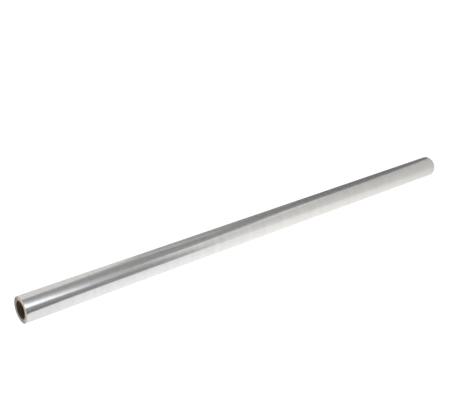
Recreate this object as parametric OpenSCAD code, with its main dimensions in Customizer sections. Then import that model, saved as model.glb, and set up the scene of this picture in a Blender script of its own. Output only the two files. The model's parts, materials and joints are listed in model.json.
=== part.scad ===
// A roll of clear cellophane film, wound on a paper tube.
// The roll lies along X on the small flat that its soft turns take under their own weight.
// The origin is on the surface that the roll lies on, under its middle, with +Z up.

/* [Film] */
// Width of the film, which is the length of the wound roll
film_width = 1000; // [300:10:1500]
// Length of film on the roll, in metres
film_length_m = 25; // [10:1:60]
// Thickness of one layer of film
film_gauge = 0.025; // [0.015:0.005:0.05]

/* [Paper tube] */
// Bore of the tube
tube_bore = 29; // [20:0.5:80]
// Wall of the tube
tube_wall = 2; // [1:0.25:5]
// How far the tube stands out past the film at each end
tube_proud = 0.5; // [0:0.1:5]
// Bevel that the knife leaves on the tube's cut edges
tube_bevel = 0.3; // [0.1:0.05:0.45]

/* [Winding] */
// Bands of turns that show as rings on the end faces
band_count = 13; // [4:1:24]
// Furthest that a band of turns wanders to either end
band_wander = 0.4; // [0.05:0.05:1]
// Step at the loose end of the film, where the last turn stops
tail_step = 0.15; // [0.05:0.05:0.4]
// Width of the flat that the roll lies on
flat_width = 6; // [3:0.5:9]

/* [Hidden] */
$fn = 128;

// The tube is as long as the film is wide, and a little more
tube_od = tube_bore + 2 * tube_wall;
tube_length = film_width + 2 * tube_proud;

// The film's own volume sets how thick the roll is
mm_per_m = 1000;
film_area = film_gauge * film_length_m * mm_per_m;
roll_d = sqrt(tube_od * tube_od + 4 * film_area / PI);
roll_r = roll_d / 2;

// The flat lies on the ground, and the roll's axis is this far above it
axis_height = sqrt(roll_r * roll_r - flat_width * flat_width / 4);

// Cuts reach this far past the faces that they cut
overcut = 1;
cut_length = tube_length + 2 * overcut;

// Each band has a place of its own: the golden angle keeps neighbours apart
golden_angle = 137.508;
band_pitch = (roll_r - tube_od / 2) / band_count;
function band_inner(i) = tube_od / 2 + i * band_pitch;
function band_outer(i) = i < band_count - 1 ? band_inner(i + 1) : roll_r + overcut;
function band_shift(i) = band_wander * sin(golden_angle * i);

// The film has one width, so a band that stands out at one end is sunk at the other
function band_edge(i, end) = end * film_width / 2 + band_shift(i);
upper_outline = [
    for (i = [0 : band_count - 1])
        for (r = [band_inner(i), band_outer(i)]) [r, band_edge(i, 1)]
];
lower_outline = [
    for (i = [band_count - 1 : -1 : 0])
        for (r = [band_outer(i), band_inner(i)]) [r, band_edge(i, -1)]
];

// Turns a shape that was made about Z, so that its axis lies along X above the ground
module lay_down() {
    translate([0, 0, axis_height]) rotate([0, 90, 0]) children();
}

// Half of a round bar: the half on the +X side (1) or the -X side (-1) of its axis
module half_bar(r, side) {
    intersection() {
        cylinder(r = r, h = cut_length, center = true);
        translate([side * roll_d / 2, 0, 0]) cube([roll_d, 2 * roll_d, cut_length], center = true);
    }
}

// The last turn as a two-centre spiral: two half rounds that run into each other at the front
// and stand a step apart at the back, where the film ends
module last_turn() {
    half_bar(roll_r, 1);
    translate([0, -tail_step / 2, 0]) half_bar(roll_r - tail_step / 2, -1);
}

// The turns with their ringed ends, cut larger than the roll outside
module turn_bands() {
    rotate_extrude() polygon(concat(upper_outline, lower_outline));
}

module wound_film() {
    color([0.86, 0.87, 0.87])
        difference() {
            lay_down() intersection() {
                last_turn();
                turn_bands();
            }
            translate([0, 0, -roll_d / 2]) cube([cut_length, roll_d, roll_d], center = true);
        }
}

module paper_tube() {
    inner = tube_bore / 2;
    outer = tube_od / 2;
    half = tube_length / 2;
    bevel = tube_bevel;
    color([0.42, 0.31, 0.22])
        lay_down() rotate_extrude() polygon([
            [inner, -half + bevel], [inner + bevel, -half], [outer - bevel, -half], [outer, -half + bevel],
            [outer, half - bevel], [outer - bevel, half], [inner + bevel, half], [inner, half - bevel]
        ]);
}

wound_film();
paper_tube();
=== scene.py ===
"""Dresses a packed roll of clear film: the wound film, the paper tube inside it and a bright studio.

Everything is in metres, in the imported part's own frame. The roll lies along X with its loose end at the back.
"""

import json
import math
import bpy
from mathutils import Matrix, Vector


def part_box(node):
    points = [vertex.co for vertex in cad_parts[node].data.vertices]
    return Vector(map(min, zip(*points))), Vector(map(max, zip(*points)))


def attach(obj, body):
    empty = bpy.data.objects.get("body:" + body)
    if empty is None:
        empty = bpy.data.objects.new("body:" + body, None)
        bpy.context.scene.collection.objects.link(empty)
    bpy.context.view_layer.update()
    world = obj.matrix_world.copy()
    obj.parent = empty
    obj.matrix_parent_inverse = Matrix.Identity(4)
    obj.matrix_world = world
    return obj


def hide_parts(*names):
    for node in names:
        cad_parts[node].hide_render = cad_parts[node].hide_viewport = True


bl_info = {
    "name": "Wound Film Roll",
    "version": (1, 0, 0),
    "blender": (4, 5, 0),
    "location": "View3D > Sidebar > Film Roll",
    "description": "Makes a roll of clear film on a paper tube, with its finishes and a studio",
    "category": "Add Mesh",
}

import bpy
import numpy as np
from bpy.props import FloatProperty, FloatVectorProperty, IntProperty, PointerProperty
from mathutils import Vector

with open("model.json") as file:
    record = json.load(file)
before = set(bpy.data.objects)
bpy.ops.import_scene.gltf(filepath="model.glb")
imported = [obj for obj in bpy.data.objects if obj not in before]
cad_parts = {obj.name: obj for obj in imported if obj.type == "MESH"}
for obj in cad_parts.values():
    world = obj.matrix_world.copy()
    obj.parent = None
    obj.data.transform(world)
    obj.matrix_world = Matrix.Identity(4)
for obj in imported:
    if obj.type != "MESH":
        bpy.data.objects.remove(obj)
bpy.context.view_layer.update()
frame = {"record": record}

MM = 0.001


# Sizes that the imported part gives

def mount_named(name):
    """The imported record's mount of that name."""
    return next(m for m in frame["record"]["mounts"] if m["name"] == name)


FILM_LOW, FILM_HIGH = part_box("wound_film")
TUBE_LOW, TUBE_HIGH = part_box("paper_tube")
BORE = mount_named("tube_bore")
AXIS_HEIGHT = BORE["pos_m"][2]
BORE_RADIUS = BORE["dims"]["r_mm"] * MM
TUBE_RADIUS = (TUBE_HIGH.y - TUBE_LOW.y) / 2
TUBE_HALF = (TUBE_HIGH.x - TUBE_LOW.x) / 2
ROLL_RADIUS = (FILM_HIGH.y - FILM_LOW.y) / 2
TAIL_STEP = 2 * (AXIS_HEIGHT + ROLL_RADIUS - FILM_HIGH.z)

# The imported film's ends are stepped in bands of turns, by this rule
BAND_COUNT = 13
BAND_WANDER = 0.4 * MM
GOLDEN_ANGLE = math.radians(137.508)
BAND_SHIFTS = [BAND_WANDER * math.sin(GOLDEN_ANGLE * i) for i in range(BAND_COUNT)]
BAND_PITCH = (ROLL_RADIUS - TUBE_RADIUS) / BAND_COUNT
FILM_HALF = (FILM_HIGH.x - FILM_LOW.x - max(BAND_SHIFTS) + min(BAND_SHIFTS)) / 2

# A sliver of room keeps the hidden faces of film and tube apart
HIDDEN_ROOM = 0.02 * MM


def slot_colour(name):
    """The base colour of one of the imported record's material slots."""
    return next(m["base_color"] for m in frame["record"]["materials"] if m["slot"] == name)


# Settings that a user would change

class FilmSettings(bpy.types.PropertyGroup):
    """How the film is wound and what it looks like."""

    tint: FloatVectorProperty(
        name="Tint", description="Colour of many clear turns on each other",
        subtype="COLOR", min=0, max=1, default=slot_colour("film"))
    end_tint: FloatVectorProperty(
        name="End tint", description="Colour of the turns' cut edges",
        subtype="COLOR", min=0, max=1, default=(0.88, 0.84, 0.78))
    rings_per_band: IntProperty(
        name="Rings per band", description="Fine rings in each band of turns on the ends",
        min=1, max=5, default=4)
    gauge_band: FloatProperty(
        name="Gauge bands", description="Height of the bands that uneven film raises around the roll",
        unit="LENGTH", min=0, max=0.2 * MM, default=0.035 * MM)
    loose_lift: FloatProperty(
        name="Loose end", description="How far the loose end springs off the turn below",
        unit="LENGTH", min=0, max=1 * MM, default=0.25 * MM)


class TubeSettings(bpy.types.PropertyGroup):
    """How the paper tube is wound and what it looks like."""

    tint: FloatVectorProperty(
        name="Paper", description="Colour of the tube's paper",
        subtype="COLOR", min=0, max=1, default=slot_colour("tube_paper"))
    # Painted shade: the bore's colour is far darker than the tube's paper and stands for the shade inside the
    # hollow
    bore_shade: FloatVectorProperty(
        name="Lining", description="Colour of the paper that lines the bore",
        subtype="COLOR", min=0, max=1, default=(0.12, 0.08, 0.055))
    cut_tint: FloatVectorProperty(
        name="Cut edge", description="Colour of the plies' cut edges on the ends",
        subtype="COLOR", min=0, max=1, default=(0.44, 0.37, 0.29))
    ply_pitch: FloatProperty(
        name="Ply pitch", description="Distance along the bore from one turn of the ply's seam to the next",
        unit="LENGTH", min=40 * MM, max=200 * MM, default=80 * MM)
    seam_depth: FloatProperty(
        name="Seam depth", description="Depth of the gap at the seam in the bore",
        unit="LENGTH", min=0, max=0.5 * MM, default=0.2 * MM)
    plies: IntProperty(
        name="Plies", description="Layers of paper that show on the tube's ends",
        min=1, max=8, default=5)


class StageSettings(bpy.types.PropertyGroup):
    """The camera and the floor."""

    camera_place: FloatVectorProperty(
        name="Camera", description="Where the camera stands",
        subtype="TRANSLATION", unit="LENGTH", default=(-0.8645, -0.917, 0.582))
    camera_azimuth: FloatProperty(
        name="Azimuth", description="Direction that the camera looks in, from +Y towards +X",
        subtype="ANGLE", default=math.radians(39.79))
    camera_drop: FloatProperty(
        name="Drop", description="How far below the horizon the camera looks",
        subtype="ANGLE", default=math.radians(22.235))
    lens: FloatProperty(
        name="Lens", description="Focal length on a sensor 36 mm wide, in millimetres",
        min=10, max=300, default=57.6)
    floor_glow: FloatProperty(
        name="Floor glow", description="Light that the floor gives by itself",
        min=0, max=2, default=0.96)


# Meshes

# Edges where the surface turns by more than this stay sharp
SHARP_ANGLE = math.radians(40)


def add_mesh(name, sections):
    """An object whose surface runs through closed sections: an array of section, column and XYZ.

    The last section joins the first, and so do the last and first columns.
    """
    count, columns, _ = sections.shape
    index = np.arange(count * columns).reshape(count, columns)
    across = np.roll(index, -1, axis=1)
    corners = [index, across, np.roll(across, -1, axis=0), np.roll(index, -1, axis=0)]
    quads = np.stack(corners, axis=-1).reshape(-1, 4)
    mesh = bpy.data.meshes.new(name)
    mesh.from_pydata(sections.reshape(-1, 3).tolist(), [], quads.tolist())
    mesh.shade_smooth()
    mesh.set_sharp_from_angle(angle=SHARP_ANGLE)
    mesh.validate()
    piece = bpy.data.objects.new(name, mesh)
    bpy.context.scene.collection.objects.link(piece)
    return piece


def around_axis(x, radius, angle):
    """Points at a radius and angle about the roll's axis: 0 is the back, and a quarter turn is the top."""
    x, radius, angle = np.broadcast_arrays(x, radius, angle)
    return np.stack([x, radius * np.cos(angle), AXIS_HEIGHT + radius * np.sin(angle)], axis=-1)


# A wave's length is drawn from its even place by a share between these
WAVE_DRAW = (0.85, 1.15)


def ripple(values, waves, seed):
    """A smooth, repeatable wander from -1 to 1 along values: a sum of sines with drawn phases.

    waves gives the longest and shortest wavelength and how many there are.
    """
    longest, shortest, count = waves
    draw = np.random.default_rng(seed)
    lengths = np.geomspace(longest, shortest, count) * draw.uniform(*WAVE_DRAW, count)
    phases = draw.uniform(0, 2 * math.pi, count)
    terms = [np.sin(2 * math.pi * values / length + phase) for length, phase in zip(lengths, phases)]
    return sum(terms) / count


FILM_COLUMNS = 184
FILM_SECTIONS = 240
# Width of the step that the loose end makes around the roll
EDGE_ARC = 0.06 * MM
RIM_ROUND = 0.12 * MM
RIM_POINTS = 3
RING_JITTER = 0.05 * MM
RING_LEAN = 0.05 * MM
RING_SEEDS = {-1: 4, 1: 3}
# How far around the roll the loose end springs, and how much that changes along it
LOOSE_ARC = math.radians(28)
LOOSE_VARIES = 0.4
LOOSE_WAVES = (0.34, 0.06, 4)
GAUGE_WAVES = (0.21, 0.018, 9)
# The turns next to the outside follow its loose end and flat spot
OUTER_TURNS = 2 * BAND_PITCH
# Film that faces down by less than this can't reach the floor
LEAST_DOWN = 0.1
# A face on an end that looks this squarely at the axis is the wall of a turn, and not a cut edge
WALL_FACING = -0.8


def last_turn_radius(angle):
    """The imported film's outside: the last turn climbs from its loose end's step back to the full radius."""
    upper = ROLL_RADIUS - TAIL_STEP / 2 - TAIL_STEP / 2 * np.cos(angle)
    return np.where(angle < math.pi, upper, ROLL_RADIUS)


def film_sides(settings, x, angle):
    """Radius of the film's outside at x and angle, with its gauge bands, loose end and flat spot."""
    bands = settings.gauge_band * ripple(x, GAUGE_WAVES, seed=11)
    near_end = np.clip((angle - 2 * math.pi + LOOSE_ARC) / LOOSE_ARC, 0, 1)
    evenness = 1 - LOOSE_VARIES + LOOSE_VARIES * ripple(x, LOOSE_WAVES, seed=5)
    free = last_turn_radius(angle) + bands + settings.loose_lift * evenness * near_end ** 3
    down = np.maximum(-np.sin(angle), LEAST_DOWN)
    return np.minimum(free, AXIS_HEIGHT / down)


def end_rings(settings, side):
    """Radii and outward shifts of the fine rings on one end, from the tube outwards, two points to a ring."""
    per_band = settings.rings_per_band
    draw = np.random.default_rng(RING_SEEDS[side])
    points = []
    for band, shift in enumerate(BAND_SHIFTS):
        for ring in range(per_band):
            inner = TUBE_RADIUS + BAND_PITCH * (band + ring / per_band)
            outer = inner + BAND_PITCH / per_band
            place = side * shift + RING_JITTER * draw.uniform(-1, 1)
            points.append((inner, place + RING_LEAN))
            points.append((outer, place - RING_LEAN))
    points[0] = (TUBE_RADIUS + HIDDEN_ROOM, points[0][1])
    return points


def film_end(settings, side, angle):
    """Sections of one end, from the tube out over the rim, and how far from the middle the rim ends."""
    rings = end_rings(settings, side)
    rim = film_sides(settings, side * FILM_HALF, angle) - RIM_ROUND
    sections = []
    for number, (radius, shift) in enumerate(rings):
        share = max(0, 1 - (ROLL_RADIUS - radius) / OUTER_TURNS)
        reach = radius + share * (rim - ROLL_RADIUS)
        band = number // (2 * settings.rings_per_band)
        wander = RING_JITTER * np.sin(angle) * math.sin(GOLDEN_ANGLE * band)
        sections.append(around_axis(side * (FILM_HALF + shift + wander), reach, angle))
    edge = FILM_HALF + rings[-1][1]
    for step in range(1, RIM_POINTS):
        turn = math.pi / 2 * step / RIM_POINTS
        x = side * (edge - RIM_ROUND * (1 - math.cos(turn)))
        sections.append(around_axis(x, rim + RIM_ROUND * math.sin(turn), angle))
    return sections, edge - RIM_ROUND


def wound_film_sections(settings):
    """Every section of the film: out over the near end, along the side, and in over the far end."""
    angle = np.linspace(0, 2 * math.pi - EDGE_ARC / ROLL_RADIUS, FILM_COLUMNS)
    near, near_edge = film_end(settings, -1, angle)
    far, far_edge = film_end(settings, 1, angle)
    along = np.linspace(-near_edge, far_edge, FILM_SECTIONS)
    side = [around_axis(x, film_sides(settings, x, angle), angle) for x in along]
    return np.array(near + side + far[::-1])


def is_cut_edge(face):
    """Whether a face of the film is on the turns' cut edges: on an end, and no wall that faces the tube."""
    spoke = Vector((0, face.center.y, face.center.z - AXIS_HEIGHT)).normalized()
    at_end = abs(face.center.x) > FILM_HALF - 2 * BAND_WANDER
    return at_end and face.normal.dot(spoke) > WALL_FACING


TUBE_COLUMNS = 96
TUBE_SECTIONS = 420
TUBE_BEVEL = 0.3 * MM
PLY_GAP = 0.05 * MM
SEAM_COLUMNS = 2


def paper_tube_sections(settings):
    """Every section of the tube: along the outside, over an end, back along the bore and over the other end.

    The columns wind along the ply, so that its seam is a clean groove.
    """
    column = np.arange(TUBE_COLUMNS)
    base = 2 * math.pi * column / TUBE_COLUMNS
    bore = BORE_RADIUS + np.where(column < SEAM_COLUMNS, settings.seam_depth, 0)
    outside = TUBE_RADIUS - HIDDEN_ROOM
    ply_edges = np.linspace(BORE_RADIUS + TUBE_BEVEL, outside - TUBE_BEVEL, settings.plies + 1)
    end = []
    for ply in range(settings.plies):
        x = TUBE_HALF - PLY_GAP * (ply % 2)
        end += [(x, ply_edges[ply]), (x, ply_edges[ply + 1])]
    along = np.linspace(TUBE_BEVEL - TUBE_HALF, TUBE_HALF - TUBE_BEVEL, TUBE_SECTIONS)
    places = [(x, outside) for x in along]
    places += end[::-1]
    places += [(x, bore) for x in along[::-1]]
    places += [(-x, radius) for x, radius in end]
    sections = [around_axis(x, radius, base + 2 * math.pi * x / settings.ply_pitch) for x, radius in places]
    return np.array(sections)


# Shader maths

class Wire:
    """A node's output. Arithmetic on it adds Math nodes to its tree."""

    def __init__(self, finish, socket):
        self.finish = finish
        self.socket = socket

    def maths(self, operation, *others):
        """A Math node on this value and others."""
        inputs = dict(enumerate((self, *others)))
        return self.finish.node("ShaderNodeMath", {"operation": operation}, inputs)

    def __add__(self, other):
        return self.maths("ADD", other)

    __radd__ = __add__

    def __mul__(self, other):
        return self.maths("MULTIPLY", other)

    __rmul__ = __mul__

    def __sub__(self, other):
        return self.maths("SUBTRACT", other)

    def __rsub__(self, other):
        return self.finish.node("ShaderNodeMath", {"operation": "SUBTRACT"}, {0: other, 1: self})

    def __pow__(self, power):
        return self.maths("POWER", power)


NOISE_ROUGHNESS = 0.55


class Finish:
    """A material or world that is built from nodes."""

    def __init__(self, owner):
        owner.use_nodes = True
        self.owner = owner
        self.tree = owner.node_tree
        self.tree.nodes.clear()

    def node(self, kind, settings, inputs, out=0):
        """Adds a node of a kind: its settings first, then its sockets' values or links, by name or number."""
        node = self.tree.nodes.new(kind)
        for name, value in settings.items():
            if name == "stops":
                self.set_stops(node.color_ramp, value)
            else:
                setattr(node, name, value)
        for key, value in inputs.items():
            if isinstance(value, Wire):
                self.tree.links.new(value.socket, node.inputs[key])
            else:
                node.inputs[key].default_value = value
        return Wire(self, node.outputs[out]) if node.outputs else None

    @staticmethod
    def set_stops(ramp, stops):
        """Gives a colour ramp its stops, as pairs of place and colour."""
        while len(ramp.elements) < len(stops):
            ramp.elements.new(1)
        for element, (place, colour) in zip(ramp.elements, stops):
            element.position = place
            element.color = colour

    def place(self):
        """X, Y and height above the roll's axis of the point that is shaded, each as a wire."""
        spot = self.node("ShaderNodeTexCoord", {}, {}, out="Object")
        axes = [self.node("ShaderNodeSeparateXYZ", {}, {0: spot}, out=n) for n in range(3)]
        return axes[0], axes[1], axes[2] - AXIS_HEIGHT

    def noise(self, place, cells, detail=3.0):
        """Smooth noise around a half at a place, with so many cells to a metre along each of its axes."""
        scaled = {n: place[n] * cells[n] for n in range(3)}
        vector = self.node("ShaderNodeCombineXYZ", {}, scaled)
        inputs = {"Vector": vector, "Scale": 1.0, "Detail": detail, "Roughness": NOISE_ROUGHNESS}
        return self.node("ShaderNodeTexNoise", {}, inputs)

    def mix(self, share, first, second, blend="MIX"):
        """A colour between two colours, or their blend of another kind."""
        settings = {"data_type": "RGBA", "blend_type": blend}
        return self.node("ShaderNodeMix", settings, {0: share, 6: first, 7: second}, out=2)

    def scaled(self, colour, share):
        """A colour times a value."""
        return self.node("ShaderNodeVectorMath", {"operation": "SCALE"}, {0: colour, "Scale": share})

    def bump(self, height, distance, strength):
        """A normal that follows a height, whose range from 0 to 1 stands for a distance."""
        return self.node("ShaderNodeBump", {}, {"Height": height, "Distance": distance, "Strength": strength})

    def surface(self, **sockets):
        """Ends the tree in a Principled shader with these sockets, whose names have _ for a space."""
        inputs = {name.replace("_", " "): value for name, value in sockets.items()}
        shader = self.node("ShaderNodeBsdfPrincipled", {}, inputs)
        self.node("ShaderNodeOutputMaterial", {}, {"Surface": shader})
        return self.owner


def opaque(colour):
    """A colour with full alpha, for a socket."""
    return (*colour, 1)


# Finishes

WHITE = (1, 1, 1, 1)
BLACK = (0, 0, 0, 1)
# Darker shades that the tints of film and paper vary towards
FILM_SHADE = (0.60, 0.59, 0.58, 1)
END_SHADE = (0.62, 0.58, 0.52, 1)
WORN_SHADE = (0.55, 0.55, 0.55, 1)
# How near to its ends the tube shows the plies' cut edges
CUT_REACH = 0.95 * TUBE_BEVEL


def film_side_finish(settings):
    """Clear turns on each other: they mirror like silver, with a little haze and fine bands around."""
    finish = Finish(bpy.data.materials.new("wound_film_side"))
    x, y, z = finish.place()
    bands = finish.noise((x, 0, 0), cells=(90, 0, 0), detail=2)
    fine = finish.noise((x, y, z), cells=(900, 6, 6), detail=2)
    mottle = finish.noise((x, y, z), cells=(30, 70, 70))
    streaks = 0.05 + 0.3 * mottle + 0.5 * bands
    return finish.surface(
        Base_Color=finish.mix(streaks, opaque(settings.tint), FILM_SHADE),
        Metallic=0.81 + 0.05 * mottle,
        Roughness=0.14 + 0.08 * bands + 0.04 * fine,
        Specular_IOR_Level=0.3,
        Normal=finish.bump(bands * 0.8 + fine * 0.2, distance=0.02 * MM, strength=0.2))


def film_end_finish(settings):
    """Cut edges of the turns: pale rings, more matt than the side."""
    finish = Finish(bpy.data.materials.new("wound_film_end"))
    x, y, z = finish.place()
    radius = (y * y + z * z) ** 0.5
    rings = finish.noise((radius, x, 0), cells=(9000, 40, 0), detail=4)
    smear = finish.noise((x, y, z), cells=(60, 120, 120))
    return finish.surface(
        Base_Color=finish.mix(rings, opaque(settings.end_tint), END_SHADE),
        Metallic=0.25,
        Roughness=0.24 + 0.16 * smear,
        Normal=finish.bump(rings, distance=0.04 * MM, strength=0.7))


def tube_finish(settings):
    """Brown paper board with fibres that follow the ply, and a dark bore that is painted shade."""
    finish = Finish(bpy.data.materials.new("tube_paper"))
    x, y, z = finish.place()
    turn = y.maths("ARCTAN2", z) * (settings.ply_pitch / (2 * math.pi))
    fibres = finish.noise((x + turn, x - turn, 0), cells=(2500, 300, 0), detail=5)
    patches = finish.noise((x, y, z), cells=(120, 120, 120))
    radius = (y * y + z * z) ** 0.5
    # Painted shade: everything inside the middle of the wall, the bore, takes the dark bore colour for the
    # shade in the hollow
    in_bore_shade = radius.maths("LESS_THAN", (BORE_RADIUS + TUBE_RADIUS) / 2)
    cut = x.maths("ABSOLUTE").maths("GREATER_THAN", TUBE_HALF - CUT_REACH)
    paper_and_bore_shade = finish.mix(in_bore_shade, opaque(settings.tint), opaque(settings.bore_shade))
    shade = finish.mix(cut, paper_and_bore_shade, opaque(settings.cut_tint))
    worn = finish.mix(fibres * 0.6 + patches * 0.4, WORN_SHADE, WHITE)
    return finish.surface(
        Base_Color=finish.mix(1.0, shade, worn, blend="MULTIPLY"),
        Roughness=0.78 + 0.2 * fibres,
        Normal=finish.bump(fibres, distance=0.06 * MM, strength=0.6))


# Operators that make the pieces

def seat(piece, node):
    """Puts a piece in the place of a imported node."""
    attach(piece, "root")
    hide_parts(node)


class FILMROLL_OT_wind_film(bpy.types.Operator):
    """Winds the clear film, with the ringed ends and the loose end of its turns"""

    bl_idname = "film_roll.wind_film"
    bl_label = "Wind Film"

    def execute(self, context):
        settings = context.scene.film_settings
        film = add_mesh("film_turns", wound_film_sections(settings))
        film.data.materials.append(film_side_finish(settings))
        film.data.materials.append(film_end_finish(settings))
        for face in film.data.polygons:
            face.material_index = int(is_cut_edge(face))
        seat(film, "wound_film")
        return {"FINISHED"}


class FILMROLL_OT_make_tube(bpy.types.Operator):
    """Makes the paper tube, with the seam of its inner ply and the plies' edges on its ends"""

    bl_idname = "film_roll.make_tube"
    bl_label = "Make Paper Tube"

    def execute(self, context):
        settings = context.scene.tube_settings
        tube = add_mesh("tube_plies", paper_tube_sections(settings))
        tube.data.materials.append(tube_finish(settings))
        seat(tube, "paper_tube")
        return {"FINISHED"}


# Stage

FLOOR_HALF = 20.0
FLOOR_SHADE = (0.25, 0.25, 0.25, 1)
WARM_WHITE = (1, 0.98, 0.95, 1)
CREAM_WHITE = (1, 0.96, 0.91, 1)
COOL_WHITE = (0.96, 0.98, 1, 1)
# How light the room is at heights from the horizon, 0, to straight up, 1
ROOM_STOPS = [(0.0, 0.15), (0.6, 0.15), (0.8, 0.24), (0.93, 0.30), (1.0, 0.30)]
# How light the room is beyond the near end, in directions whose X is under the first of these
ROOM_BEHIND = (0.3, 0.3, 0.3, 1)
ROOM_TURN = (-0.3, -0.05)
# The softbox stands in front of the roll: X and glow of the corners in its rows, by their height
SOFTBOX_Y = -1.2
SOFTBOX_ROWS = {
    0.0: [(-2.2, 0.14), (0.1, 0.14), (0.2, 0.19), (0.35, 0.25), (0.6, 0.27)],
    0.3: [(-2.2, 0.18), (0.1, 0.18), (0.2, 0.18), (0.35, 0.21), (0.6, 0.21)],
    0.72: [(-2.2, 0.4), (0.16, 0.4), (0.22, 0.32), (0.4, 0.29), (0.6, 0.29)],
    0.78: [(-2.2, 1.8), (0.16, 1.8), (0.22, 0.44), (0.4, 0.31), (0.6, 0.30)],
    1.5: [(-2.2, 1.8), (0.23, 1.8), (0.32, 0.6), (0.5, 0.38), (0.8, 0.32)],
    2.4: [(-2.2, 0.9), (0.36, 0.75), (0.46, 0.65), (0.62, 0.46), (1.1, 0.38)],
    6.6: [(-2.2, 0.4), (0.9, 0.40), (1.2, 0.38), (1.5, 0.36), (2.2, 0.30)],
}
# The end card stands beyond the near end: the height and glow of its rows
END_CARD_X = -2.6
END_CARD_SIDES = (-2.0, 1.2)
END_CARD_ROWS = [(0.0, 0.5), (0.7, 0.6), (0.8, 1.2), (1.9, 1.2)]
# Cards that the film mirrors: rows of corners, each with its X, Y, height and glow
CARDS = {
    "back_card": [
        [(-2.0, 0.7, 0.0, 0.82), (0.05, 0.7, 0.0, 0.82)],
        [(-2.0, 0.7, 2.4, 0.82), (0.38, 0.7, 2.4, 0.82)],
    ],
    "rear_card": [
        [(0.05, 0.7, 0.0, 0.45), (0.9, 0.7, 0.0, 0.15)],
        [(0.38, 0.7, 2.4, 0.45), (1.1, 0.7, 2.4, 0.15)],
    ],
    "rear_strip": [
        [(0.25, 0.69, 0.62, 0.55), (1.4, 0.69, 1.85, 0.55)],
        [(0.25, 0.69, 0.90, 0.55), (1.35, 0.69, 2.3, 0.55)],
    ],
    "right_card": [
        [(1.28, 0.02, 0.0, 0.58), (1.06, -0.68, 0.0, 0.72), (0.8, -1.54, 0.0, 0.95)],
        [(1.28, 0.02, 1.1, 0.56), (1.06, -0.68, 1.1, 0.66), (0.8, -1.54, 1.1, 0.80)],
        [(1.28, 0.02, 1.2, 0.86), (1.06, -0.68, 1.2, 0.82), (0.8, -1.54, 1.2, 0.90)],
        [(1.28, 0.02, 1.5, 0.90), (1.06, -0.68, 1.54, 0.90), (0.8, -1.54, 2.0, 0.95)],
    ],
    "low_card": [
        [(1.51, 0.77, 0.0, 0.56), (1.28, 0.02, 0.0, 0.56)],
        [(1.51, 0.77, 0.05, 0.56), (1.28, 0.02, 1.12, 0.58)],
    ],
    "end_card": [[(END_CARD_X, y, z, glow) for y in END_CARD_SIDES] for z, glow in END_CARD_ROWS],
    "softbox": [[(x, SOFTBOX_Y, z, glow) for x, glow in row] for z, row in SOFTBOX_ROWS.items()],
}
# Tints of a card's columns of corners, where they aren't warm white
CARD_TINTS = {
    "right_card": [WARM_WHITE, CREAM_WHITE, WHITE],
    "softbox": [COOL_WHITE, COOL_WHITE, COOL_WHITE, WHITE, WHITE],
}
# A dark card that lies in front of the near end: rows of corners, each with its X and Y
DARK_CARD = [
    [(-0.6, 0.0), (-0.22, -0.28), (0.0, -0.4), (1.2, -2.1)],
    [(-3.0, -2.2), (-2.0, -2.2), (-1.0, -2.2), (1.1, -2.2)],
]
DARK_CARD_GLOW = 0.04
DARK_CARD_LIFT = 0.5 * MM
# The floor that the film mirrors is a pool of light, dimmer to the far end and behind the roll
POOL_GLOW = 1.15
POOL_CENTRE = -0.1
POOL_FALL = 0.6
POOL_FAR = 0.73
POOL_BEHIND = 0.4
# It is shaded close to the near end
SHADE_START = -0.5
SHADE_LENGTH = 0.1
SHADE_REACH = 0.05
SHADE_DEPTH = 0.1
# It also dims a little away from the roll, and is warmer to the far end
FRONT_REACH = 0.07
FRONT_DEPTH = 0.09
WARM_START = -0.25
WARM_REACH = 0.4


def stage_sheet(name, rows, finish):
    """A sheet of the stage through rows of points."""
    mesh = bpy.data.meshes.new(name)
    width = len(rows[0])
    starts = [row * width + column for row in range(len(rows) - 1) for column in range(width - 1)]
    faces = [(n, n + 1, n + width + 1, n + width) for n in starts]
    mesh.from_pydata([point for row in rows for point in row], [], faces)
    mesh.materials.append(finish)
    sheet = bpy.data.objects.new(name, mesh)
    bpy.context.scene.collection.objects.link(sheet)
    return sheet


def glow_finish(name, colour, glow, shade=BLACK):
    """A matt sheet of a shade that also gives light."""
    return Finish(bpy.data.materials.new(name)).surface(
        Base_Color=shade,
        Roughness=1.0,
        Specular_IOR_Level=0.0,
        Emission_Color=colour,
        Emission_Strength=glow)


def add_card(name, rows):
    """A card whose glow changes evenly from corner to corner."""
    finish = Finish(bpy.data.materials.new(name))
    colour = finish.node("ShaderNodeAttribute", {"attribute_name": "glow"}, {}, out="Color")
    finish.surface(
        Base_Color=BLACK,
        Specular_IOR_Level=0.0,
        Emission_Color=colour,
        Emission_Strength=1.0)
    card = stage_sheet(name, [[corner[:3] for corner in row] for row in rows], finish.owner)
    levels = card.data.attributes.new("glow", "FLOAT_COLOR", "POINT")
    tints = CARD_TINTS.get(name, [WARM_WHITE] * len(rows[0]))
    glows = [(corner[3], tint) for row in rows for corner, tint in zip(row, tints)]
    for point, (glow, tint) in zip(levels.data, glows):
        point.color = opaque(glow * channel for channel in tint[:3])
    return card


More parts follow.
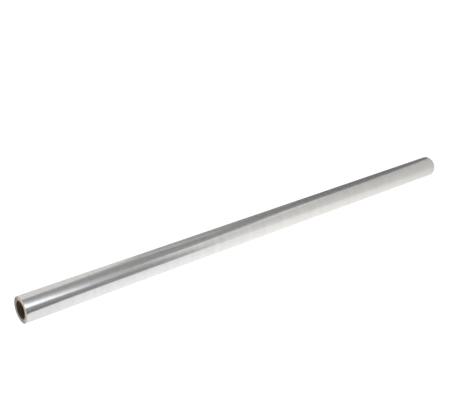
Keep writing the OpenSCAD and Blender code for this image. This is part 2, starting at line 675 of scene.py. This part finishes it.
def pool_finish():
    """The floor that the film mirrors."""
    finish = Finish(bpy.data.materials.new("floor_pool"))
    x, y, _ = finish.place()
    away = y.maths("ABSOLUTE")
    fall = (1 - POOL_FALL * (x - POOL_CENTRE) ** 2).maths("MAXIMUM", POOL_FAR)
    past_end = (x - SHADE_START) * (1 / SHADE_LENGTH)
    clear = (away * (1 / SHADE_REACH)).maths("MAXIMUM", past_end).maths("MINIMUM", 1)
    front = (away * (1 / FRONT_REACH)).maths("MINIMUM", 1)
    behind = y.maths("GREATER_THAN", 0)
    shaded = fall * (1 - SHADE_DEPTH + SHADE_DEPTH * clear) * (1 - FRONT_DEPTH * front)
    light = shaded * (1 - (1 - POOL_BEHIND) * behind)
    tint = finish.mix((x - WARM_START) * (1 / WARM_REACH), WHITE, WARM_WHITE)
    return finish.surface(
        Base_Color=BLACK,
        Specular_IOR_Level=0.0,
        Emission_Color=finish.scaled(tint, light),
        Emission_Strength=POOL_GLOW)


def hide_from(sheet, *rays):
    """Leaves a sheet out of shadows and out of these other kinds of ray."""
    for kind in ("shadow", *rays):
        setattr(sheet, "visible_" + kind, False)


class FILMROLL_OT_set_stage(bpy.types.Operator):
    """Sets the floor, the cards, the room and the camera"""

    bl_idname = "film_roll.set_stage"
    bl_label = "Set Stage"

    def execute(self, context):
        settings = context.scene.stage_settings
        self.set_floor(settings)
        self.set_backdrop()
        self.set_cards()
        self.set_room(context.scene)
        self.set_camera(context.scene, settings)
        context.scene.view_settings.view_transform = "Standard"
        return {"FINISHED"}

    def set_floor(self, settings):
        """A white floor that glows like a light table, and the pool of light that the film mirrors."""
        h = FLOOR_HALF
        rows = [[(-h, -h, 0), (h, -h, 0)], [(-h, h, 0), (h, h, 0)]]
        floor = stage_sheet("floor", rows, glow_finish("floor", WHITE, settings.floor_glow, FLOOR_SHADE))
        floor.visible_glossy = False
        hide_from(stage_sheet("floor_pool", rows, pool_finish()), "camera", "diffuse", "transmission")

    def set_backdrop(self):
        """White walls round the floor, which only the camera sees."""
        h = FLOOR_HALF
        foot = [(-h, -h, 0), (h, -h, 0), (h, h, 0), (-h, h, 0), (-h, -h, 0)]
        rows = [foot, [(x, y, h) for x, y, _ in foot]]
        backdrop = stage_sheet("backdrop", rows, glow_finish("backdrop", WHITE, 1.0))
        hide_from(backdrop, "diffuse", "glossy", "transmission")

    def set_cards(self):
        """Cards that the film mirrors. The camera looks past them."""
        for name, rows in CARDS.items():
            hide_from(add_card(name, rows), "camera")
        rows = [[(x, y, DARK_CARD_LIFT) for x, y in row] for row in DARK_CARD]
        finish = glow_finish("dark_card", WHITE, DARK_CARD_GLOW)
        hide_from(stage_sheet("dark_card", rows, finish), "camera", "diffuse", "transmission")

    def set_room(self, scene):
        """A dim room that is lighter high up and beyond the near end."""
        finish = Finish(bpy.data.worlds.new("studio_room"))
        direction = finish.node("ShaderNodeTexCoord", {}, {}, out="Generated")
        along = finish.node("ShaderNodeSeparateXYZ", {}, {0: direction}, out=0)
        height = finish.node("ShaderNodeSeparateXYZ", {}, {0: direction}, out=2)
        stops = [(place, (level, level, level, 1)) for place, level in ROOM_STOPS]
        ahead = finish.node("ShaderNodeValToRGB", {"stops": stops}, {0: height})
        start, end = ROOM_TURN
        shade = finish.mix((along - start) * (1 / (end - start)), ROOM_BEHIND, ahead)
        light = finish.node("ShaderNodeBackground", {}, {"Color": shade})
        finish.node("ShaderNodeOutputWorld", {}, {"Surface": light})
        scene.world = finish.owner

    def set_camera(self, scene, settings):
        """The camera, which stands a little above the near end and looks along the roll."""
        data = bpy.data.cameras.new("camera")
        data.lens = settings.lens
        camera = bpy.data.objects.new("camera", data)
        camera.location = settings.camera_place
        camera.rotation_euler = (math.pi / 2 - settings.camera_drop, 0, -settings.camera_azimuth)
        scene.collection.objects.link(camera)
        scene.camera = camera


# Panel

class FILMROLL_PT_panel(bpy.types.Panel):
    """Lists the roll's pieces and their settings"""

    bl_idname = "FILMROLL_PT_panel"
    bl_label = "Film Roll"
    bl_space_type = "VIEW_3D"
    bl_region_type = "UI"
    bl_category = "Film Roll"

    def draw(self, context):
        for settings, group, operator in SECTIONS:
            box = self.layout.box()
            for name in group.__annotations__:
                box.prop(getattr(context.scene, settings), name)
            box.operator(operator.bl_idname)


SECTIONS = [
    ("film_settings", FilmSettings, FILMROLL_OT_wind_film),
    ("tube_settings", TubeSettings, FILMROLL_OT_make_tube),
    ("stage_settings", StageSettings, FILMROLL_OT_set_stage),
]


def register():
    for settings, group, operator in SECTIONS:
        bpy.utils.register_class(group)
        bpy.utils.register_class(operator)
        setattr(bpy.types.Scene, settings, PointerProperty(type=group))
    bpy.utils.register_class(FILMROLL_PT_panel)


def unregister():
    bpy.utils.unregister_class(FILMROLL_PT_panel)
    for settings, group, operator in reversed(SECTIONS):
        delattr(bpy.types.Scene, settings)
        bpy.utils.unregister_class(operator)
        bpy.utils.unregister_class(group)


def main():
    """Makes every piece and the stage."""
    register()
    bpy.ops.film_roll.set_stage()
    bpy.ops.film_roll.wind_film()
    bpy.ops.film_roll.make_tube()


if __name__ == "__main__":
    main()
